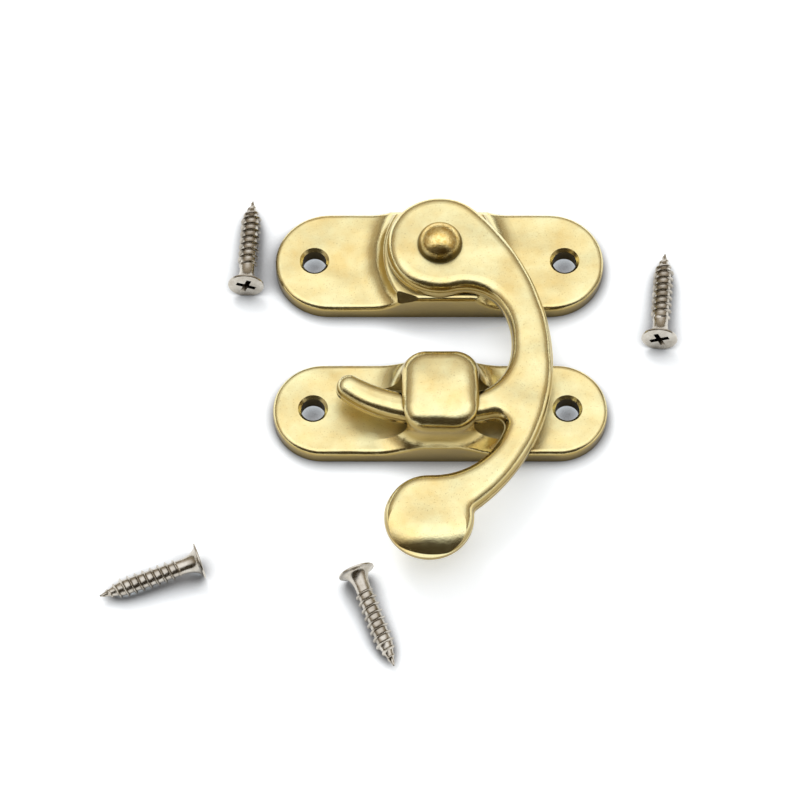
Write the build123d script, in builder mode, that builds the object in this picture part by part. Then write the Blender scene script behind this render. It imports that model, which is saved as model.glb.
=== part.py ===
from build123d import *
from math import atan, atan2, cos, degrees, radians, sin, sqrt, tan
import os

os.makedirs("parts", exist_ok=True)

# Swing-arm hook latch, shown closed. Millimetres, +Z up, back faces of both plates at Z = 0.
# The origin is the middle of the pivot plate's back. +Y points to the lid, -Y to the keeper.

# Plates
PLATE_THICK = 1.8
PLATE_EDGE_ROUND = 0.55
PIVOT_PLATE_LENGTH = 33.2
PIVOT_PLATE_WIDTH = 11.0
CATCH_PLATE_LENGTH = 33.3
CATCH_PLATE_WIDTH = 10.0
HOLE_SPACING = 25.3
HOLE_RADIUS = 1.2
HOLE_RIM_RADIUS = 1.5
HOLE_RIM_ANGLE = 90

# Boss under the hook
BOSS_LEDGE_HEIGHT = 1.95
BOSS_HALF_LENGTH = 5.65
BOSS_SIDE_RADIUS = 8.4
BOSS_FLANK_RUN = 2.6
BOSS_REAR_INSET = 1.2
BOSS_RIM_ROUND = 0.45
BOSS_FRONT_BEVEL = 1.45
BOSS_BEVEL_TURN = 19
COLLAR_RADIUS = 5.35
COLLAR_HEIGHT = 0.3
COLLAR_EDGE_ROUND = 0.12

# Pivot, a little in front of the pivot plate's centre line
PIVOT_INSET = 0.28

# Hook arm, seen in plan as a chain of tangent circles
ARM_THICK = 1.8
ARM_EDGE_ROUND = 1.1
LIP_HEIGHT = 0.5
LIP_STEP = 0.1
HEAD_RADIUS = 5.4
HEAD_SHIFT = 0.4
NECK_RADIUS = 4.2
BAY_RADIUS = 8.7
BAY_SHIFT = -1.6
BAY_INSET = 6.1
CROTCH_RADIUS = 5.2
TONGUE_INNER_RADIUS = 16.72
TONGUE_WIDTH = 2.95
TONGUE_TIP_RADIUS = 1.3
TONGUE_TIP_ANGLE = -120.1
TONGUE_TAPER_RADIUS = 12.0
NOSE_RADIUS = 1.0
TAIL_INNER_RADIUS = 7.5
TAIL_INNER_ANGLE = 88.5
TAIL_OUTER_RADIUS = 20.2
ARM_REACH = 11.2
ARM_REACH_INSET = 3.8
KNOB_RADIUS = 4.4
KNOB_SHIFT = -1.15
KNOB_DROP = 10.05
KNOB_CORNER_RADIUS = 0.8
THUMB_SLOPE_LENGTH = 2.7
THUMB_LEDGE = 0.25
THUMB_SLOPE_HEADING = -98
THUMB_SWEEP_BACK = 2.5
THUMB_SWEEP_HALF_TURN = 65

# Keeper on the catch plate
KEEPER_LENGTH = 7.9
KEEPER_CORNER_RADIUS = 2.6
KEEPER_FLARE_RADIUS = 3.0
KEEPER_CROWN_RADIUS = 19.0
KEEPER_TOP_ROUND = 1.8
KEEPER_ROOF = 1.1
KEEPER_FRONT_WALL = 0.9
KEEPER_REAR_WALL = 2.3
TUNNEL_FRONT_GAP = 0.25
TUNNEL_REAR_GAP = 2.3
TUNNEL_TOP_GAP = 0.35
TUNNEL_ROUND = 1.0

# Rivet
RIVET_RADIUS = 1.25
RIVET_HEAD_RADIUS = 2.26
RIVET_HEAD_HEIGHT = 1.9
RIVET_HEAD_EDGE = 0.12
RIVET_TAIL_RADIUS = 1.9
RIVET_TAIL_ANGLE = 90
RIVET_TAIL_INSET = 0.05

# Wood screws
SCREW_LENGTH = 10.4
SCREW_HEAD_RADIUS = 1.8
SCREW_HEAD_EDGE = 0.18
SCREW_HEAD_HEIGHT = 1.9
SCREW_NECK_RADIUS = 0.78
SCREW_THREAD_RADIUS = 1.03
SCREW_THREAD_START = 2.4
SCREW_POINT_LENGTH = 2.3
SCREW_POINT_RADIUS = 0.08
RECESS_SPAN = 2.0
RECESS_WIDTH = 0.52
RECESS_DEPTH = 0.95
RECESS_TAPER = 8

# Loose screws: head centre from the end, corner or knob it lies beside, and heading of the point
SCREW_1_FROM_PIVOT_PLATE = (-2.95, -2.9)
SCREW_1_HEADING = 87
SCREW_2_FROM_PIVOT_PLATE = (5.4, -9.0)
SCREW_2_HEADING = 85
SCREW_3_FROM_CATCH_PLATE = (-6.85, -11.65)
SCREW_3_HEADING = 199
SCREW_4_FROM_KNOB = (-7.15, -4.5)
SCREW_4_HEADING = -69

# Clearances
PIVOT_GAP = 0.05
RIVET_FIT = 0.02
HOOK_FLOAT = 0.05

BOSS_TOP = PLATE_THICK + BOSS_LEDGE_HEIGHT + COLLAR_HEIGHT
ARM_BOTTOM = BOSS_TOP + HOOK_FLOAT
ARM_TOP = ARM_BOTTOM + ARM_THICK
TONGUE_INNER_Y = -(PIVOT_INSET + TONGUE_INNER_RADIUS)
TONGUE_OUTER_RADIUS = TONGUE_INNER_RADIUS + TONGUE_WIDTH
TONGUE_OUTER_Y = TONGUE_INNER_Y - TONGUE_WIDTH
HEAD_Y = HEAD_SHIFT - PIVOT_INSET

# Keeper levels and walls follow the tongue's path
TUNNEL_TOP = ARM_TOP + TUNNEL_TOP_GAP
TUNNEL_FRONT = TONGUE_OUTER_Y - TUNNEL_FRONT_GAP
TUNNEL_REAR = TONGUE_INNER_Y + TUNNEL_REAR_GAP
KEEPER_FRONT = TUNNEL_FRONT - KEEPER_FRONT_WALL
KEEPER_REAR = TUNNEL_REAR + KEEPER_REAR_WALL
KEEPER_TOP = TUNNEL_TOP + KEEPER_ROOF
CATCH_Y = (KEEPER_FRONT + KEEPER_REAR) / 2
KNOB_Y = TONGUE_OUTER_Y - KNOB_DROP


def polar(radius, angle):
    return Vector(radius * cos(radians(angle)), radius * sin(radians(angle)))


def circles_meet(centre_a, radius_a, centre_b, radius_b, side):
    """Point at both distances from two centres, on the left (1) or right (-1) of the line a to b."""
    line = centre_b - centre_a
    along = (line.length**2 + radius_a**2 - radius_b**2) / (2 * line.length)
    across = sqrt(radius_a**2 - along**2)
    direction = line.normalized()
    return centre_a + direction * along + Vector(-direction.Y, direction.X) * across * side


def touch_point(circle_a, circle_b):
    """Point where two tangent circles of the chain touch."""
    centre_a, radius_a, side_a = circle_a
    centre_b, radius_b, side_b = circle_b
    if side_a != side_b:
        return centre_a + (centre_b - centre_a).normalized() * radius_a
    if radius_a > radius_b:
        return centre_a + (centre_b - centre_a).normalized() * radius_a
    return centre_b + (centre_a - centre_b).normalized() * radius_b


def hook_circles():
    """Plan circles of the hook: centre, radius, and 1 for a convex or -1 for a hollow stretch."""
    pivot = Vector(0, -PIVOT_INSET)
    head = Vector(0, HEAD_Y)
    tip_radius = min(TONGUE_TIP_RADIUS, 0.45 * TONGUE_WIDTH)
    bay = Vector(BAY_SHIFT, TONGUE_INNER_Y + BAY_INSET)
    neck = circles_meet(head, HEAD_RADIUS + NECK_RADIUS, bay, BAY_RADIUS - NECK_RADIUS, 1)
    crotch = circles_meet(pivot, TONGUE_INNER_RADIUS - CROTCH_RADIUS, bay, BAY_RADIUS - CROTCH_RADIUS, 1)
    tip = pivot + polar(TONGUE_INNER_RADIUS + tip_radius, TONGUE_TIP_ANGLE)
    taper = circles_meet(
        pivot, TONGUE_OUTER_RADIUS - TONGUE_TAPER_RADIUS, tip, TONGUE_TAPER_RADIUS - tip_radius, 1
    )
    knob = Vector(KNOB_SHIFT, KNOB_Y)
    tail_inner = knob + polar(KNOB_RADIUS + TAIL_INNER_RADIUS, TAIL_INNER_ANGLE)
    nose = circles_meet(
        pivot, TONGUE_OUTER_RADIUS + NOSE_RADIUS, tail_inner, TAIL_INNER_RADIUS - NOSE_RADIUS, 1
    )
    reach_y = TONGUE_INNER_Y + ARM_REACH_INSET
    tail_outer = Vector(ARM_REACH - TAIL_OUTER_RADIUS, reach_y)
    corner = circles_meet(
        knob, KNOB_RADIUS + KNOB_CORNER_RADIUS, tail_outer, TAIL_OUTER_RADIUS + KNOB_CORNER_RADIUS, -1
    )
    fall = HEAD_Y - reach_y
    back_radius = (ARM_REACH**2 + fall**2 - HEAD_RADIUS**2) / (2 * (ARM_REACH - HEAD_RADIUS))
    back = Vector(ARM_REACH - back_radius, reach_y)
    return {
        "head": (head, HEAD_RADIUS, 1),
        "neck": (neck, NECK_RADIUS, -1),
        "bay": (bay, BAY_RADIUS, -1),
        "crotch": (crotch, CROTCH_RADIUS, -1),
        "tongue_inner": (pivot, TONGUE_INNER_RADIUS, -1),
        "tip": (tip, tip_radius, 1),
        "taper": (taper, TONGUE_TAPER_RADIUS, 1),
        "tongue_outer": (pivot, TONGUE_OUTER_RADIUS, 1),
        "nose": (nose, NOSE_RADIUS, -1),
        "tail_inner": (tail_inner, TAIL_INNER_RADIUS, -1),
        "knob": (knob, KNOB_RADIUS, 1),
        "corner": (corner, KNOB_CORNER_RADIUS, -1),
        "tail_outer": (tail_outer, TAIL_OUTER_RADIUS, 1),
        "back": (back, back_radius, 1),
    }


def hook_outline(growth):
    """Draws the closed chain of arcs in the current line block, grown outwards by the given amount."""
    circles = hook_circles().values()
    chain = [(centre, radius + side * growth, side) for centre, radius, side in circles]
    for before, circle, after in zip(chain[-1:] + chain[:-1], chain, chain[1:] + chain[:1]):
        centre, radius, side = circle
        first = touch_point(before, circle) - centre
        last = touch_point(circle, after) - centre
        start = degrees(atan2(first.Y, first.X))
        sweep = (side * (degrees(atan2(last.Y, last.X)) - start)) % 360
        CenterArc(centre, radius, start, side * sweep)


def arm_edge_round():
    """The arm's edge round, which its two sides share where the tail is narrowest."""
    circles = hook_circles()
    centre_in, radius_in, _ = circles["tail_inner"]
    centre_out, radius_out, _ = circles["tail_outer"]
    tail_width = radius_out - radius_in - (centre_in - centre_out).length - 2 * LIP_STEP
    return min(ARM_EDGE_ROUND, 0.45 * tail_width)


def upper_outline(solid, level):
    """Edges above the given level on the walls that pass through it."""
    walls = solid.faces().filter_by(
        lambda face: face.bounding_box().min.Z < level < face.bounding_box().max.Z
    )
    return walls.edges().filter_by(lambda edge: edge.bounding_box().min.Z > level)


# Hook arm: rounded top edge, a thumb slope swept round the knob's end and a flash lip round the foot
sweep_centre = Vector(KNOB_SHIFT, KNOB_Y) - polar(THUMB_SWEEP_BACK, THUMB_SLOPE_HEADING)
sweep_start = polar(1, THUMB_SLOPE_HEADING - THUMB_SWEEP_HALF_TURN)
thumb_plane = Plane(
    origin=(sweep_centre.X, sweep_centre.Y, ARM_TOP),
    x_dir=(sweep_start.X, sweep_start.Y, 0),
    z_dir=(sweep_start.Y, -sweep_start.X, 0),
)
with BuildPart() as hook_arm:
    with BuildSketch(Plane.XY.offset(ARM_BOTTOM)):
        with BuildLine():
            hook_outline(-LIP_STEP)
        make_face()
    extrude(amount=ARM_THICK)
    fillet(hook_arm.faces().sort_by(Axis.Z)[-1].edges(), radius=arm_edge_round())
    with BuildSketch(thumb_plane):
        with BuildLine():
            slope_reach = THUMB_SWEEP_BACK + KNOB_RADIUS - LIP_STEP - THUMB_LEDGE
            slope_start = (slope_reach - THUMB_SLOPE_LENGTH, 0)
            slope_end = (slope_reach, LIP_HEIGHT - ARM_THICK)
            clear_reach = slope_reach + KNOB_RADIUS
            TangentArc(slope_start, slope_end, tangent=(1, 0))
            Polyline(slope_end, (clear_reach, slope_end[1]), (clear_reach, 0), slope_start)
        make_face()
    sweep_axis = Axis(thumb_plane.origin, (0, 0, 1))
    revolve(axis=sweep_axis, revolution_arc=2 * THUMB_SWEEP_HALF_TURN, mode=Mode.SUBTRACT)
    with BuildSketch(Plane.XY.offset(ARM_BOTTOM)):
        with BuildLine():
            hook_outline(0)
        make_face()
    extrude(amount=LIP_HEIGHT)
    with BuildSketch(Plane((0, -PIVOT_INSET, ARM_BOTTOM))):
        Circle(RIVET_RADIUS + PIVOT_GAP)
    extrude(amount=ARM_THICK, mode=Mode.SUBTRACT)

hook_arm.part.label = "hook_arm"
export_step(hook_arm.part, "parts/hook_arm.step")


# Boss: the overlap of two turned forms, so that each hollow flank bows out, with a hollow rear slope
flank_axis_shift = BOSS_SIDE_RADIUS - BOSS_HALF_LENGTH
ledge_z = PLATE_THICK + BOSS_LEDGE_HEIGHT
with BuildPart() as boss:
    for axis_x, combine in ((flank_axis_shift, Mode.ADD), (-flank_axis_shift, Mode.INTERSECT)):
        with BuildSketch(Plane(origin=(axis_x, 0, 0), x_dir=(1, 0, 0), z_dir=(0, -1, 0))) as profile:
            with BuildLine():
                foot = (BOSS_SIDE_RADIUS + BOSS_FLANK_RUN, PLATE_THICK)
                rim = (BOSS_SIDE_RADIUS, ledge_z)
                Line((0, 0), (foot[0], 0))
                Line((foot[0], 0), foot)
                TangentArc(foot, rim, tangent=(-1, 0))
                Line(rim, (0, ledge_z))
                Line((0, ledge_z), (0, 0))
            make_face()
            fillet(profile.vertices().group_by(Axis.Y)[-1].sort_by(Axis.X)[-1], radius=BOSS_RIM_ROUND)
        revolve(axis=Axis((axis_x, 0, 0), (0, 0, 1)), mode=combine)
    with BuildSketch(Plane.YZ):
        with BuildLine():
            rear_rim = (PIVOT_PLATE_WIDTH / 2 - BOSS_REAR_INSET, ledge_z)
            rear_foot = (rear_rim[0] + BOSS_FLANK_RUN, PLATE_THICK)
            TangentArc(rear_foot, rear_rim, tangent=(-1, 0))
            Polyline(
                rear_rim,
                (rear_rim[0], BOSS_TOP),
                (2 * PIVOT_PLATE_WIDTH, BOSS_TOP),
                (2 * PIVOT_PLATE_WIDTH, PLATE_THICK),
                rear_foot,
            )
        make_face()
    extrude(amount=BOSS_HALF_LENGTH + BOSS_FLANK_RUN, both=True, mode=Mode.SUBTRACT)

# Pivot plate: round ends, the boss with a bevel that runs out along its front, and a collar
bevel_way = polar(1, -BOSS_BEVEL_TURN)
bevel_plane = Plane(
    origin=(-BOSS_HALF_LENGTH, -PIVOT_PLATE_WIDTH / 2, ledge_z),
    x_dir=(-bevel_way.Y, bevel_way.X, 0),
    z_dir=(bevel_way.X, bevel_way.Y, 0),
)
with BuildPart() as pivot_plate:
    with BuildSketch():
        Rectangle(PIVOT_PLATE_LENGTH, 2 * PIVOT_PLATE_WIDTH)
    extrude(amount=PLATE_THICK)
    add(boss.part)
    with BuildSketch():
        SlotOverall(PIVOT_PLATE_LENGTH, PIVOT_PLATE_WIDTH)
    extrude(amount=BOSS_TOP, mode=Mode.INTERSECT)
    fillet(upper_outline(pivot_plate, PLATE_THICK / 2), radius=PLATE_EDGE_ROUND)
    with BuildSketch(bevel_plane):
        with BuildLine():
            bevel_start = (BOSS_FRONT_BEVEL, 0)
            bevel_end = (-BOSS_FRONT_BEVEL, -2 * BOSS_FRONT_BEVEL)
            Polyline(bevel_start, bevel_end, (-BOSS_FRONT_BEVEL, 0), close=True)
        make_face()
    extrude(amount=2 * BOSS_HALF_LENGTH, mode=Mode.SUBTRACT)
    with BuildSketch(Plane((0, HEAD_Y, 0))):
        Circle(COLLAR_RADIUS)
    extrude(amount=BOSS_TOP)
    chamfer(pivot_plate.faces().sort_by(Axis.Z)[-1].edges(), length=COLLAR_EDGE_ROUND)
    with Locations(-Plane((0, -PIVOT_INSET, 0))):
        CounterSinkHole(RIVET_RADIUS + RIVET_FIT, RIVET_TAIL_RADIUS, BOSS_TOP, RIVET_TAIL_ANGLE)
    with Locations((0, 0, PLATE_THICK)):
        with GridLocations(HOLE_SPACING, 0, 2, 1):
            CounterSinkHole(HOLE_RADIUS, HOLE_RIM_RADIUS, PLATE_THICK, HOLE_RIM_ANGLE)

pivot_plate.part.label = "pivot_plate"
export_step(pivot_plate.part, "parts/pivot_plate.step")

# Keeper: rounded block under a crown that falls to the front and rear
with BuildPart() as keeper:
    with BuildSketch(Plane((0, CATCH_Y, 0))):
        RectangleRounded(KEEPER_LENGTH, KEEPER_REAR - KEEPER_FRONT, KEEPER_CORNER_RADIUS)
    extrude(amount=KEEPER_TOP + KEEPER_ROOF)
    with BuildSketch(Plane.YZ):
        with Locations((CATCH_Y, KEEPER_TOP - KEEPER_CROWN_RADIUS)):
            Circle(KEEPER_CROWN_RADIUS)
    extrude(amount=KEEPER_LENGTH, both=True, mode=Mode.INTERSECT)
    fillet(keeper.faces().sort_by(Axis.Z)[-1].edges(), radius=KEEPER_TOP_ROUND)

# Catch plate: round-ended plate that the keeper flares into, with a tunnel for the tongue
with BuildPart() as catch_plate:
    with BuildSketch(Plane((0, CATCH_Y, 0))):
        Rectangle(CATCH_PLATE_LENGTH, 3 * CATCH_PLATE_WIDTH)
    extrude(amount=PLATE_THICK)
    add(keeper.part)
    deck = catch_plate.faces().filter_by(Axis.Z).group_by(Axis.Z)[1].face()
    fillet(deck.inner_wires().edges(), radius=KEEPER_FLARE_RADIUS)
    with BuildSketch(Plane((0, CATCH_Y, 0))):
        SlotOverall(CATCH_PLATE_LENGTH, CATCH_PLATE_WIDTH)
    extrude(amount=KEEPER_TOP, mode=Mode.INTERSECT)
    fillet(upper_outline(catch_plate, PLATE_THICK / 2), radius=PLATE_EDGE_ROUND)
    with BuildSketch(Plane.YZ):
        with BuildLine():
            Polyline(
                (TUNNEL_FRONT, TUNNEL_TOP / 2),
                (TUNNEL_FRONT, PLATE_THICK),
                (TUNNEL_REAR, PLATE_THICK),
                (TUNNEL_REAR, TUNNEL_TOP / 2),
            )
            FilletPolyline(
                (TUNNEL_REAR, TUNNEL_TOP / 2),
                (TUNNEL_REAR, TUNNEL_TOP),
                (TUNNEL_FRONT, TUNNEL_TOP),
                (TUNNEL_FRONT, TUNNEL_TOP / 2),
                radius=TUNNEL_ROUND,
            )
        make_face()
    extrude(amount=KEEPER_LENGTH / 2 + KEEPER_FLARE_RADIUS, both=True, mode=Mode.SUBTRACT)
    with Locations((0, CATCH_Y, PLATE_THICK)):
        with GridLocations(HOLE_SPACING, 0, 2, 1):
            CounterSinkHole(HOLE_RADIUS, HOLE_RIM_RADIUS, PLATE_THICK, HOLE_RIM_ANGLE)

catch_plate.part.label = "catch_plate"
export_step(catch_plate.part, "parts/catch_plate.step")

# Rivet: dome, straight shank and a tail spread into the countersink in the back
dome_foot = ARM_TOP + HOOK_FLOAT
dome_top = dome_foot + RIVET_HEAD_EDGE + RIVET_HEAD_HEIGHT
tail_rim = RIVET_TAIL_RADIUS - RIVET_TAIL_INSET - RIVET_FIT
tail_depth = RIVET_TAIL_INSET + (tail_rim - RIVET_RADIUS) / tan(radians(RIVET_TAIL_ANGLE / 2))
with BuildPart() as pivot_rivet:
    with BuildSketch(Plane(origin=(0, -PIVOT_INSET, 0), x_dir=(1, 0, 0), z_dir=(0, -1, 0))):
        with BuildLine():
            Polyline(
                (0, dome_top),
                (0, RIVET_TAIL_INSET),
                (tail_rim, RIVET_TAIL_INSET),
                (RIVET_RADIUS, tail_depth),
                (RIVET_RADIUS, dome_foot),
                (RIVET_HEAD_RADIUS, dome_foot),
                (RIVET_HEAD_RADIUS, dome_foot + RIVET_HEAD_EDGE),
            )
            TangentArc((0, dome_top), (RIVET_HEAD_RADIUS, dome_foot + RIVET_HEAD_EDGE), tangent=(1, 0))
        make_face()
    revolve(axis=Axis((0, -PIVOT_INSET, 0), (0, 0, 1)))

pivot_rivet.part.label = "pivot_rivet"
export_step(pivot_rivet.part, "parts/pivot_rivet.step")

# Loose wood screws: each lies on its head's rim and its thread, so its point dips to the floor
thread_end = SCREW_LENGTH - SCREW_POINT_LENGTH
dip = degrees(atan((SCREW_HEAD_RADIUS - SCREW_THREAD_RADIUS) / (thread_end - SCREW_HEAD_EDGE)))
head_height = SCREW_HEAD_RADIUS * cos(radians(dip)) + SCREW_HEAD_EDGE * sin(radians(dip))
screw_places = (
    (Vector(-PIVOT_PLATE_LENGTH / 2, 0) + Vector(SCREW_1_FROM_PIVOT_PLATE), SCREW_1_HEADING),
    (Vector(PIVOT_PLATE_LENGTH / 2, 0) + Vector(SCREW_2_FROM_PIVOT_PLATE), SCREW_2_HEADING),
    (
        Vector(-CATCH_PLATE_LENGTH / 2, CATCH_Y - CATCH_PLATE_WIDTH / 2) + Vector(SCREW_3_FROM_CATCH_PLATE),
        SCREW_3_HEADING,
    ),
    (Vector(KNOB_SHIFT, KNOB_Y) + Vector(SCREW_4_FROM_KNOB), SCREW_4_HEADING),
)
for number, (place, heading) in enumerate(screw_places, start=1):
    level = polar(cos(radians(dip)), heading)
    seat = Plane(
        origin=(place.X, place.Y, head_height),
        x_dir=polar(1, heading - 90),
        z_dir=(level.X, level.Y, -sin(radians(dip))),
    )
    with BuildPart() as wood_screw:
        with BuildSketch(Plane(origin=seat.origin, x_dir=seat.x_dir, z_dir=-seat.y_dir)):
            with BuildLine():
                Polyline((0, 0), (SCREW_HEAD_RADIUS, 0), (SCREW_HEAD_RADIUS, SCREW_HEAD_EDGE))
                TangentArc(
                    (SCREW_NECK_RADIUS, SCREW_HEAD_HEIGHT),
                    (SCREW_HEAD_RADIUS, SCREW_HEAD_EDGE),
                    tangent=(0, -1),
                )
                Polyline(
                    (SCREW_NECK_RADIUS, SCREW_HEAD_HEIGHT),
                    (SCREW_THREAD_RADIUS, SCREW_THREAD_START),
                    (SCREW_THREAD_RADIUS, thread_end),
                    (SCREW_POINT_RADIUS, SCREW_LENGTH),
                    (0, SCREW_LENGTH),
                    (0, 0),
                )
            make_face()
        revolve(axis=Axis(seat.origin, seat.z_dir))
        with BuildSketch(seat):
            Rectangle(RECESS_SPAN, RECESS_WIDTH)
            Rectangle(RECESS_WIDTH, RECESS_SPAN)
        extrude(amount=RECESS_DEPTH, taper=RECESS_TAPER, mode=Mode.SUBTRACT)

    wood_screw.part.label = f"wood_screw_{number}"
    export_step(wood_screw.part, f"parts/wood_screw_{number}.step")
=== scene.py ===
from math import atan, cos, pi, radians, sin

import bmesh
import bpy
from mathutils import Matrix, Vector


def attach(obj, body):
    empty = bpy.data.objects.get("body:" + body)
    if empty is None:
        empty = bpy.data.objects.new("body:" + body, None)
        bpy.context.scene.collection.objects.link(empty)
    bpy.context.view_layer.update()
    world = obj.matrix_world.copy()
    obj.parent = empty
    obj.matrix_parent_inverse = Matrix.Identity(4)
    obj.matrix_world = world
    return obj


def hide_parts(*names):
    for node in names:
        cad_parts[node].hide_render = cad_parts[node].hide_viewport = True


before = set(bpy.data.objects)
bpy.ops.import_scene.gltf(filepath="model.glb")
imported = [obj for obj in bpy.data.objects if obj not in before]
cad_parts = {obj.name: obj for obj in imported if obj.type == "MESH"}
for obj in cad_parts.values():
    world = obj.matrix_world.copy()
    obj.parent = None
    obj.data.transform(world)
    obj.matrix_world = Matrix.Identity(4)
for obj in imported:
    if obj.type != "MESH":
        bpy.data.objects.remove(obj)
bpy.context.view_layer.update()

MM = 0.001

# Camera: looks down at the latch from its knob end
TARGET = Vector((-4.0, -14.88, 0.0)) * MM
ELEVATION = radians(63.0)
DISTANCE = 0.44
LENS_MM = 198.0
SENSOR_MM = 36.0
CLIP_START = 0.01
CLIP_END = 10.0

# Screws, in millimetres; heights count from the head's face towards the point
SCREW_LENGTH = 10.4
HEAD_RADIUS = 1.8
HEAD_EDGE = 0.18
HEAD_HEIGHT = 1.9
CHAMFER_IN = 0.06
CHAMFER_DOWN = 0.05
CORE_RADIUS = 0.76
NECK_EXTRA = 0.004
THREAD_RADIUS = 1.03
THREAD_START = 2.05
THREAD_FULL = 2.75
THREAD_OVERLAP = 0.1
PITCH = 0.78
POINT_LENGTH = 2.3
POINT_RADIUS = 0.08
RECESS_SPAN = 2.0
RECESS_WIDTH = 0.5
RECESS_DEPTH = 0.95
RECESS_ABOVE = 0.2

# Trumpet of the head: steps from its edge to the neck, and the powers that bend its curve
TRUMPET_STEPS = 10
TRUMPET_RUN_POWER = 0.82
TRUMPET_RISE_POWER = 0.9

# Recess: shares of its span just above the face and at its floor; its width tapers half as much
RECESS_MOUTH = 1.08
RECESS_FLOOR = 0.62

# One pitch of the thread, as (share of the pitch, share of the thread's height)
THREAD_ROWS = (
    (0.0, 1.0), (0.07, 0.82), (0.2, 0.06), (0.35, 0.0),
    (0.5, 0.0), (0.65, 0.0), (0.8, 0.06), (0.93, 0.82),
)

# Mesh of the screws: steps around, the gaps it welds and the slivers it drops in millimetres, and
# the angle from which its edges stay sharp
AROUND = 40
WELD = 0.004
SLIVER = 0.003
CREASE = radians(38)

# Loose screws, which lie on the edge of the head and on the thread: number, x and y of the face's
# centre in millimetres, then the way the point heads and the turn of the recess in degrees
DIP = atan((HEAD_RADIUS - THREAD_RADIUS) / (SCREW_LENGTH - POINT_LENGTH - HEAD_EDGE))
HEAD_LIFT = HEAD_RADIUS * cos(DIP) + HEAD_EDGE * sin(DIP)
SCREWS = (
    (1, -19.55, -2.9, 87.0, 20.0),
    (2, 22.0, -9.0, 85.0, 65.0),
    (3, -23.5, -33.4, 199.0, 35.0),
    (4, -8.3, -34.5, -69.0, 10.0),
)

# Broken edges of the plates and the hook
EDGE_WIDTH = 0.05 * MM
EDGE_SEGMENTS = 2
EDGE_ANGLE = radians(40)

# Noises: features per metre, detail, roughness
WAVE_NOISE = (210, 1, 0.5)
GRAIN_NOISE = (5200, 3, 0.6)
SPECK_NOISE = (6200, 2, 0.6)
MOTTLE_NOISE = (1500, 5, 0.65)
SMEAR_NOISE = (900, 4, 0.6)
STEEL_GLOSS_NOISE = (2600, 3, 0.6)
STEEL_GRAIN_NOISE = (4200, 3, 0.6)

# Ranges of a value between its two ends, and what the ends become where that isn't 0 and 1
PATCH_RANGE = (0.35, 0.68)
SPECK_RANGE = (0.60, 0.74, 0.0, 0.6)
MOTTLE_RANGE = (0.3, 0.7, -0.05, 0.06)
SMEAR_RANGE = (0.35, 0.7)
STEEL_GLOSS_RANGE = (0.3, 0.7, 0.16, 0.32)
GROOVE_SHADE_RANGE = (0.40, 0.92)
WALL_CORNER_SHADE_RANGE = (0.2, 0.7)
CORNER_SHADE_RANGE = (0.20, 0.75)
CONTACT_SHADOW_RANGE = (0.40, 0.94)
HOLE_LIGHT_RANGE = (0.20, 0.42)

# Where an underside gives way to a wall, a wall to a top, and a rounded edge to a flat: -1 is a
# face that looks straight down, and 1 one that looks straight up. Undersides and walls take painted
# shade.
UNDER_TO_WALL = (-0.9, -0.3)
WALL_TO_TOP = (0.30, 0.75)
EDGE_TO_FLAT = (0.90, 0.995)

# How far the painted shade of a corner, a groove and a piece on the floor reaches, in metres
CORNER_SHADE_REACH = 0.003
GROOVE_SHADE_REACH = 0.0009
CONTACT_SHADOW_REACH = 0.004
REACH_SAMPLES = 16

# Metals: bumps as (strength, depth in metres), and the colours, with painted shade among them
WAVE_BUMP = (1.0, 0.0004)
GRAIN_DEPTH = 0.00003
STEEL_GRAIN_BUMP = (0.2, 0.00002)
STEEL_TONE = (0.64, 0.60, 0.53)
SMEAR_TONE = (0.42, 0.375, 0.31)
GROOVE_SHADE_TONE = (0.09, 0.07, 0.045)
# Tones of the brass: pale, deep and dull are its own; the tones of walls, undersides and corners
# are painted shade
PLATE_TONES = {
    "pale": (0.90, 0.83, 0.47),
    "deep": (0.87, 0.67, 0.28),
    "wall_shade": (0.37, 0.27, 0.09),
    "under": (0.66, 0.56, 0.31),
    "dull": (0.50, 0.37, 0.16),
    "corner": (0.17, 0.125, 0.04),
}
# Tones of the rivet: the tones of its walls, undersides and corners are painted shade as well
RIVET_TONES = {
    "pale": (0.99, 0.80, 0.36),
    "deep": (0.74, 0.50, 0.14),
    "wall_shade": (0.13, 0.10, 0.04),
    "under": (0.13, 0.10, 0.04),
    "dull": (0.34, 0.24, 0.07),
    "corner": (0.08, 0.065, 0.025),
}

# Finishes: the patches and the most that they show, roughness of edges and flats, and the grain
PLATE_FINISH = {
    "patch_noise": (260, 3, 0.6),
    "patch_most": 0.85,
    "rough": (0.20, 0.36),
    "grain": 0.35,
}
RIVET_FINISH = {
    "patch_noise": (1900, 3, 0.6),
    "patch_most": 1.0,
    "rough": (0.22, 0.26),
    "grain": 0.6,
}

# Light of the studio: bright overhead, warm beside, dim towards the floor and darkest in front
CROWN_WAY = (0.0, -0.17, 0.985)
CROWN_RANGE = (0.40, 0.90)
CROWN_GLOW = (1.38, 1.39, 1.42)
SIDE_WALL = (0.47, 0.405, 0.32)
FAR_ROOM = (0.16, 0.13, 0.085)
FAR_ROOM_RANGE = (0.0, 0.42)
FRONT_WALL = (0.050, 0.038, 0.022)
FRONT_RANGE = (-0.64, -0.38)

# Lamp high behind the latch, which throws its shadows to the front
REAR_PLACE = Vector((-0.21, 0.45, 0.54))
REAR_AIM = Vector((0.0, -0.015, 0.0))
REAR_SIZE = 0.3
REAR_POWER = 2.0

# Floor: pale, with painted shadow where pieces touch it, and painted light down the screw holes
FLOOR_SIZE = 3.0
FLOOR_DROP = 0.00002
FLOOR_ROUGH = 0.75
FLOOR_SHINE = 0.2
FLOOR_TONE = (0.92, 0.93, 0.94)
CONTACT_SHADOW_TONE = (0.30, 0.30, 0.31)
FLOOR_GLOW = 0.34
HOLE_LIGHT = 0.55
GLOW_TONE = (0.88, 0.95, 1.0, 1.0)


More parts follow.
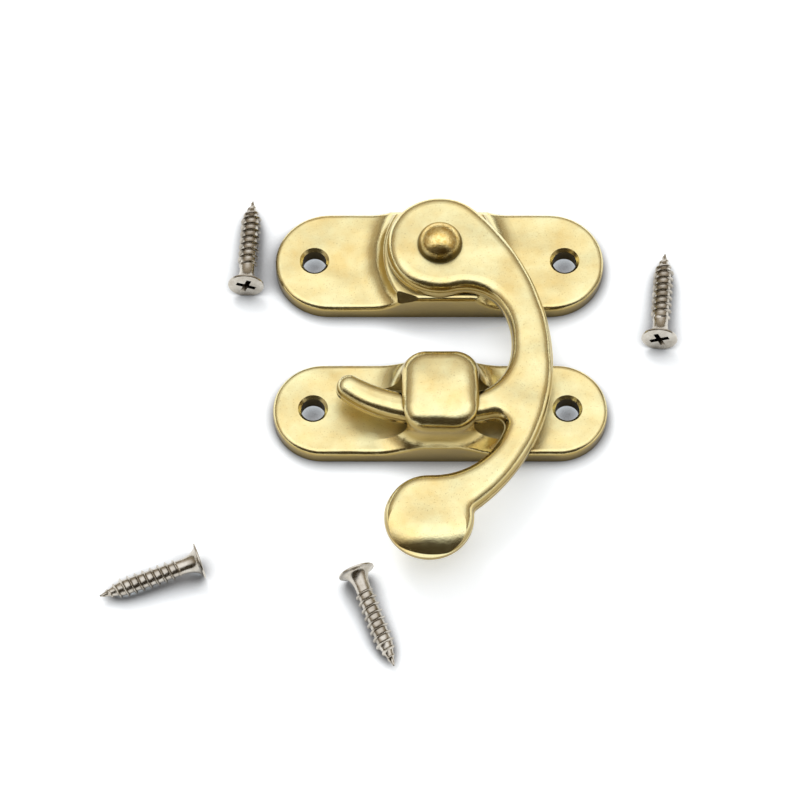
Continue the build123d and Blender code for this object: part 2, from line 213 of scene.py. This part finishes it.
def new_material(name):
    material = bpy.data.materials.new(name)
    material.use_nodes = True
    tree = material.node_tree
    tree.nodes.clear()
    output = tree.nodes.new("ShaderNodeOutputMaterial")
    shader = tree.nodes.new("ShaderNodeBsdfPrincipled")
    tree.links.new(shader.outputs["BSDF"], output.inputs["Surface"])
    return material, tree, shader, output


def noise(tree, scale, detail, rough):
    """Noise over the piece's own metres; scale counts features per metre."""
    coords = tree.nodes.new("ShaderNodeTexCoord")
    node = tree.nodes.new("ShaderNodeTexNoise")
    node.inputs["Scale"].default_value = scale
    node.inputs["Detail"].default_value = detail
    node.inputs["Roughness"].default_value = rough
    tree.links.new(coords.outputs["Object"], node.inputs["Vector"])
    return node.outputs["Fac"]


def spread(tree, value, low, high, out_low=0.0, out_high=1.0, smooth=False):
    """Maps low to out_low and high to out_high, with what lies beyond them held at these."""
    node = tree.nodes.new("ShaderNodeMapRange")
    if smooth:
        node.interpolation_type = "SMOOTHSTEP"
    node.inputs["From Min"].default_value = low
    node.inputs["From Max"].default_value = high
    node.inputs["To Min"].default_value = out_low
    node.inputs["To Max"].default_value = out_high
    tree.links.new(value, node.inputs["Value"])
    return node.outputs["Result"]


def reckon(tree, operation, *values):
    """Result of a Math node over other nodes' outputs."""
    node = tree.nodes.new("ShaderNodeMath")
    node.operation = operation
    for slot, value in enumerate(values):
        tree.links.new(value, node.inputs[slot])
    return node.outputs["Value"]


def blend_colours(tree, factor, colour_a, colour_b):
    """Colour a at factor 0 and colour b at factor 1; each is a tuple or a node's output."""
    node = tree.nodes.new("ShaderNodeMix")
    node.data_type = "RGBA"
    tree.links.new(factor, node.inputs["Factor"])
    for socket, colour in (("A", colour_a), ("B", colour_b)):
        entry = [s for s in node.inputs if s.name == socket and s.type == "RGBA"][0]
        if isinstance(colour, tuple):
            entry.default_value = (*colour, 1.0)
        else:
            tree.links.new(colour, entry)
    return [s for s in node.outputs if s.type == "RGBA"][0]


def bump(tree, shader, layers):
    """Stacks bump layers (height, strength, distance in metres) into the shader's normal."""
    last = None
    for height, strength, distance in layers:
        node = tree.nodes.new("ShaderNodeBump")
        node.inputs["Strength"].default_value = strength
        node.inputs["Distance"].default_value = distance
        tree.links.new(height, node.inputs["Height"])
        if last:
            tree.links.new(last, node.inputs["Normal"])
        last = node.outputs["Normal"]
    tree.links.new(last, shader.inputs["Normal"])


def facing_up(tree, low, high):
    """0 where the surface looks up less than low, 1 where it looks up more than high."""
    coords = tree.nodes.new("ShaderNodeTexCoord")
    split = tree.nodes.new("ShaderNodeSeparateXYZ")
    tree.links.new(coords.outputs["Normal"], split.inputs["Vector"])
    return spread(tree, split.outputs["Z"], low, high, smooth=True)


def openness(tree, reach):
    """1 in the open, falling towards 0 in corners and grooves no wider than the reach in metres."""
    node = tree.nodes.new("ShaderNodeAmbientOcclusion")
    node.samples = REACH_SAMPLES
    node.inputs["Distance"].default_value = reach
    return node.outputs["AO"]


def plated_brass(name, tones, finish):
    """Satin plating: patchy tops, painted shade on walls, undersides and corners, and small dull
    specks.
    """
    material, tree, shader, _ = new_material(name)
    shader.inputs["Metallic"].default_value = 1.0
    near = openness(tree, CORNER_SHADE_REACH)
    patch_noise = noise(tree, *finish["patch_noise"])
    patches = spread(tree, patch_noise, *PATCH_RANGE, 0.0, finish["patch_most"])
    tops = blend_colours(tree, patches, tones["pale"], tones["deep"])
    # Painted shade: walls darken towards their corners
    clear_of_shade = spread(tree, near, *WALL_CORNER_SHADE_RANGE)
    sides = blend_colours(tree, clear_of_shade, tones["corner"], tones["wall_shade"])
    # Painted shade: walls and undersides take darker tones than the tops
    shaded_walls = blend_colours(tree, facing_up(tree, *UNDER_TO_WALL), tones["under"], sides)
    base = blend_colours(tree, facing_up(tree, *WALL_TO_TOP), shaded_walls, tops)
    specks = spread(tree, noise(tree, *SPECK_NOISE), *SPECK_RANGE)
    speckled = blend_colours(tree, specks, base, tones["dull"])
    # Painted shade: all of the brass darkens towards the corner tone in corners and creases
    corner_shading = spread(tree, near, *CORNER_SHADE_RANGE)
    colour = blend_colours(tree, corner_shading, tones["corner"], speckled)
    tree.links.new(colour, shader.inputs["Base Color"])
    mottle = spread(tree, noise(tree, *MOTTLE_NOISE), *MOTTLE_RANGE)
    level = spread(tree, facing_up(tree, *EDGE_TO_FLAT), 0.0, 1.0, *finish["rough"])
    tree.links.new(reckon(tree, "ADD", level, mottle), shader.inputs["Roughness"])
    waves = (noise(tree, *WAVE_NOISE), *WAVE_BUMP)
    grain = (noise(tree, *GRAIN_NOISE), finish["grain"], GRAIN_DEPTH)
    bump(tree, shader, (waves, grain))
    return material


def screw_steel():
    """Nickel-plated steel, slightly warm, with dull smears and painted shade in its grooves."""
    material, tree, shader, _ = new_material("screw_steel")
    shader.inputs["Metallic"].default_value = 1.0
    smears = spread(tree, noise(tree, *SMEAR_NOISE), *SMEAR_RANGE)
    tone = blend_colours(tree, smears, STEEL_TONE, SMEAR_TONE)
    # Painted shade: the thread's grooves darken towards the groove tone
    clear_of_shade = spread(tree, openness(tree, GROOVE_SHADE_REACH), *GROOVE_SHADE_RANGE)
    colour = blend_colours(tree, clear_of_shade, GROOVE_SHADE_TONE, tone)
    tree.links.new(colour, shader.inputs["Base Color"])
    gloss = spread(tree, noise(tree, *STEEL_GLOSS_NOISE), *STEEL_GLOSS_RANGE)
    tree.links.new(gloss, shader.inputs["Roughness"])
    bump(tree, shader, ((noise(tree, *STEEL_GRAIN_NOISE), *STEEL_GRAIN_BUMP),))
    return material


def paint(obj, material):
    obj.data.materials.clear()
    obj.data.materials.append(material)


def smooth(obj):
    for face in obj.data.polygons:
        face.use_smooth = True


def as_object(bm, name):
    """Turns a finished bmesh into an object and frees it."""
    bmesh.ops.recalc_face_normals(bm, faces=bm.faces)
    mesh = bpy.data.meshes.new(name)
    bm.to_mesh(mesh)
    bm.free()
    return bpy.data.objects.new(name, mesh)


def lathe(bm, profile):
    """Turns (radius, z) points about Z and closes both ends."""
    rings = []
    for radius, z in profile:
        ring = []
        for step in range(AROUND):
            turn = 2 * pi * step / AROUND
            ring.append(bm.verts.new((radius * cos(turn), radius * sin(turn), z)))
        rings.append(ring)
    for lower, upper in zip(rings, rings[1:]):
        for step in range(AROUND):
            after = (step + 1) % AROUND
            bm.faces.new((lower[step], lower[after], upper[after], upper[step]))
    bm.faces.new(list(reversed(rings[0])))
    bm.faces.new(rings[-1])


def head_solid():
    """Trumpet head with its face at z = 0 and its neck towards +z."""
    profile = [
        (HEAD_RADIUS - CHAMFER_IN, 0.0),
        (HEAD_RADIUS, CHAMFER_DOWN),
        (HEAD_RADIUS, HEAD_EDGE),
    ]
    run = HEAD_RADIUS - CORE_RADIUS
    rise = HEAD_HEIGHT - HEAD_EDGE
    for step in range(1, TRUMPET_STEPS + 1):
        turn = 0.5 * pi * step / TRUMPET_STEPS
        radius = HEAD_RADIUS - run * sin(turn) ** TRUMPET_RUN_POWER
        height = HEAD_EDGE + rise * (1 - cos(turn)) ** TRUMPET_RISE_POWER
        profile.append((radius, height))
    profile.append((CORE_RADIUS + NECK_EXTRA, THREAD_FULL))
    bm = bmesh.new()
    lathe(bm, profile)
    return as_object(bm, "head")


def recess_cutter():
    """Cross of two tapered blocks that narrows into the head."""
    bm = bmesh.new()
    for turn in (0.0, 0.5 * pi):
        spin = Matrix.Rotation(turn, 3, "Z")
        corners = []
        for z, share in ((-RECESS_ABOVE, RECESS_MOUTH), (RECESS_DEPTH, RECESS_FLOOR)):
            span = 0.5 * RECESS_SPAN * share
            half = 0.5 * RECESS_WIDTH * (0.5 + 0.5 * share)
            for x, y in ((-span, -half), (span, -half), (span, half), (-span, half)):
                corners.append(bm.verts.new(spin @ Vector((x, y, z))))
        bm.faces.new(reversed(corners[:4]))
        bm.faces.new(corners[4:])
        for side in range(4):
            after = (side + 1) % 4
            bm.faces.new((corners[side], corners[after], corners[4 + after], corners[4 + side]))
    return as_object(bm, "recess")


def outer_radius(z):
    """The thread's outer radius along the screw, which the point brings down to its tip."""
    left = (SCREW_LENGTH - z) / POINT_LENGTH
    if left >= 1:
        return THREAD_RADIUS
    return POINT_RADIUS + (THREAD_RADIUS - POINT_RADIUS) * max(left, 0.0)


def thread_height(z):
    """The thread's height, which grows from nothing near the head and shrinks along the point."""
    start = min(max((z - THREAD_START) / (THREAD_FULL - THREAD_START), 0.0), 1.0)
    depth = outer_radius(z) * (1 - CORE_RADIUS / THREAD_RADIUS)
    return start * depth


def thread_ring(bm, base, height, floor):
    """One turn of a mesh row that climbs along the thread's helix, from base by one pitch."""
    ring = []
    for step in range(AROUND + 1):
        z = min(max(base + PITCH * step / AROUND, floor), SCREW_LENGTH)
        root = min(CORE_RADIUS, outer_radius(z) * CORE_RADIUS / THREAD_RADIUS)
        radius = root + height * thread_height(z)
        turn = 2 * pi * step / AROUND
        ring.append(bm.verts.new((radius * cos(turn), radius * sin(turn), z)))
    return ring


def thread_mesh(bm):
    """Shank whose mesh rows follow the thread's helix, so that the crest is one clean edge."""
    floor = THREAD_START - THREAD_OVERLAP
    turns = int(SCREW_LENGTH / PITCH) + 2
    grid = []
    for number in range(turns):
        for share, height in THREAD_ROWS:
            base = floor - PITCH + (number + share) * PITCH
            grid.append(thread_ring(bm, base, height, floor))
    for lower, upper in zip(grid, grid[1:]):
        for step in range(AROUND):
            bm.faces.new((lower[step], lower[step + 1], upper[step + 1], upper[step]))
    bmesh.ops.remove_doubles(bm, verts=bm.verts, dist=WELD)
    bmesh.ops.dissolve_degenerate(bm, dist=SLIVER, edges=bm.edges)
    bmesh.ops.holes_fill(bm, edges=[edge for edge in bm.edges if edge.is_boundary])


def evaluated_mesh(obj):
    depsgraph = bpy.context.evaluated_depsgraph_get()
    return bpy.data.meshes.new_from_object(obj.evaluated_get(depsgraph))


def screw_template():
    """One whole screw in millimetres along +Z, as a mesh that all four screws are placed from."""
    head = head_solid()
    cutter = recess_cutter()
    for obj in (head, cutter):
        bpy.context.scene.collection.objects.link(obj)
    cut = head.modifiers.new("recess", "BOOLEAN")
    cut.operation = "DIFFERENCE"
    cut.solver = "EXACT"
    cut.use_self = True
    cut.object = cutter
    bpy.context.view_layer.update()
    cut_head = evaluated_mesh(head)
    bm = bmesh.new()
    thread_mesh(bm)
    bmesh.ops.recalc_face_normals(bm, faces=bm.faces)
    bm.from_mesh(cut_head)
    mesh = bpy.data.meshes.new("screw_template")
    bm.to_mesh(mesh)
    bm.free()
    for obj in (head, cutter):
        bpy.data.objects.remove(obj)
    return mesh


def place_screws(material):
    template = screw_template()
    for number, x, y, heading, spin in SCREWS:
        mesh = template.copy()
        heading = radians(heading)
        point_way = Vector((cos(heading) * cos(DIP), sin(heading) * cos(DIP), -sin(DIP)))
        across = Vector((sin(heading), -cos(heading), 0.0))
        third = point_way.cross(across)
        turn = Matrix((across, third, point_way)).transposed().to_4x4()
        seat = Matrix.Translation(Vector((x, y, HEAD_LIFT)) * MM)
        recess_turn = Matrix.Rotation(radians(spin), 4, "Z")
        mesh.transform(seat @ turn @ recess_turn @ Matrix.Scale(MM, 4))
        screw = bpy.data.objects.new(f"screw_{number}_threaded", mesh)
        bpy.context.scene.collection.objects.link(screw)
        smooth(screw)
        mesh.set_sharp_from_angle(angle=CREASE)
        paint(screw, material)
        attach(screw, f"screw_{number}")
        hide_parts(f"wood_screw_{number}")


def soften_edges(obj):
    """Breaks the sharp edges that plating always rounds a little."""
    bevel = obj.modifiers.new("edge", "BEVEL")
    bevel.width = EDGE_WIDTH
    bevel.segments = EDGE_SEGMENTS
    bevel.limit_method = "ANGLE"
    bevel.angle_limit = EDGE_ANGLE
    bevel.harden_normals = True


def floor_material():
    """Pale floor with painted contact shadow and painted light down the screw holes; its glow shows
    to the camera and in mirrors, but lights nothing.
    """
    material, tree, shader, output = new_material("pale_floor")
    # Painted shadow: the floor's tone and its glow darken where pieces stand close above it
    near = openness(tree, CONTACT_SHADOW_REACH)
    clear = spread(tree, near, *CONTACT_SHADOW_RANGE, smooth=True)
    tone = blend_colours(tree, clear, CONTACT_SHADOW_TONE, FLOOR_TONE)
    tree.links.new(tone, shader.inputs["Base Color"])
    shader.inputs["Roughness"].default_value = FLOOR_ROUGH
    shader.inputs["Specular IOR Level"].default_value = FLOOR_SHINE
    rays = tree.nodes.new("ShaderNodeLightPath").outputs
    seen = reckon(tree, "MAXIMUM", rays["Is Camera Ray"], rays["Is Glossy Ray"])
    seen = reckon(tree, "MAXIMUM", seen, rays["Is Transmission Ray"])
    open_glow = spread(tree, clear, 0.0, 1.0, 0.0, FLOOR_GLOW)
    open_glow = reckon(tree, "MULTIPLY", open_glow, seen)
    # Painted light: the floor glows brighter to the camera where it is most hidden, as down the
    # screw holes
    hole_light = spread(tree, near, *HOLE_LIGHT_RANGE, HOLE_LIGHT, 0.0, smooth=True)
    strength = reckon(tree, "MULTIPLY_ADD", hole_light, rays["Is Camera Ray"], open_glow)
    glow = tree.nodes.new("ShaderNodeEmission")
    glow.inputs["Color"].default_value = GLOW_TONE
    tree.links.new(strength, glow.inputs["Strength"])
    added = tree.nodes.new("ShaderNodeAddShader")
    tree.links.new(shader.outputs["BSDF"], added.inputs[0])
    tree.links.new(glow.outputs["Emission"], added.inputs[1])
    tree.links.new(added.outputs["Shader"], output.inputs["Surface"])
    return material


def stage():
    bpy.ops.mesh.primitive_plane_add(size=FLOOR_SIZE, location=(0, 0, -FLOOR_DROP))
    floor = bpy.context.object
    floor.name = "floor"
    paint(floor, floor_material())


def rear_lamp():
    """Soft lamp that the metal doesn't mirror."""
    data = bpy.data.lights.new("rear_lamp", "AREA")
    data.shape = "RECTANGLE"
    data.size = REAR_SIZE
    data.size_y = REAR_SIZE
    data.energy = REAR_POWER
    lamp = bpy.data.objects.new("rear_lamp", data)
    lamp.location = REAR_PLACE
    lamp.rotation_euler = (REAR_AIM - REAR_PLACE).to_track_quat("-Z", "Y").to_euler()
    lamp.visible_glossy = False
    bpy.context.scene.collection.objects.link(lamp)


def lights():
    world = bpy.data.worlds.new("studio")
    world.use_nodes = True
    tree = world.node_tree
    background = tree.nodes["Background"]
    coords = tree.nodes.new("ShaderNodeTexCoord")
    split = tree.nodes.new("ShaderNodeSeparateXYZ")
    tree.links.new(coords.outputs["Generated"], split.inputs["Vector"])
    towards = tree.nodes.new("ShaderNodeVectorMath")
    towards.operation = "DOT_PRODUCT"
    tree.links.new(coords.outputs["Generated"], towards.inputs[0])
    towards.inputs[1].default_value = CROWN_WAY
    crown = spread(tree, towards.outputs["Value"], *CROWN_RANGE, smooth=True)
    sky = blend_colours(tree, crown, SIDE_WALL, CROWN_GLOW)
    above = spread(tree, split.outputs["Z"], *FAR_ROOM_RANGE, smooth=True)
    room = blend_colours(tree, above, FAR_ROOM, sky)
    lit = spread(tree, split.outputs["Y"], *FRONT_RANGE, smooth=True)
    tree.links.new(blend_colours(tree, lit, FRONT_WALL, room), background.inputs["Color"])
    background.inputs["Strength"].default_value = 1.0
    bpy.context.scene.world = world
    rear_lamp()


def camera():
    data = bpy.data.cameras.new("camera")
    data.lens = LENS_MM
    data.sensor_width = SENSOR_MM
    data.clip_start = CLIP_START
    data.clip_end = CLIP_END
    eye = bpy.data.objects.new("camera", data)
    eye.location = TARGET + DISTANCE * Vector((0.0, -cos(ELEVATION), sin(ELEVATION)))
    eye.rotation_euler = (TARGET - eye.location).to_track_quat("-Z", "Y").to_euler()
    bpy.context.scene.collection.objects.link(eye)
    bpy.context.scene.camera = eye


camera()
bpy.context.scene.view_settings.view_transform = "Standard"
stage()
lights()

brass = plated_brass("plated_brass", PLATE_TONES, PLATE_FINISH)
rivet_brass = plated_brass("rivet_brass", RIVET_TONES, RIVET_FINISH)
for name in ("pivot_plate", "catch_plate", "hook_arm"):
    paint(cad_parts[name], brass)
    soften_edges(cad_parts[name])
paint(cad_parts["pivot_rivet"], rivet_brass)
place_screws(screw_steel())
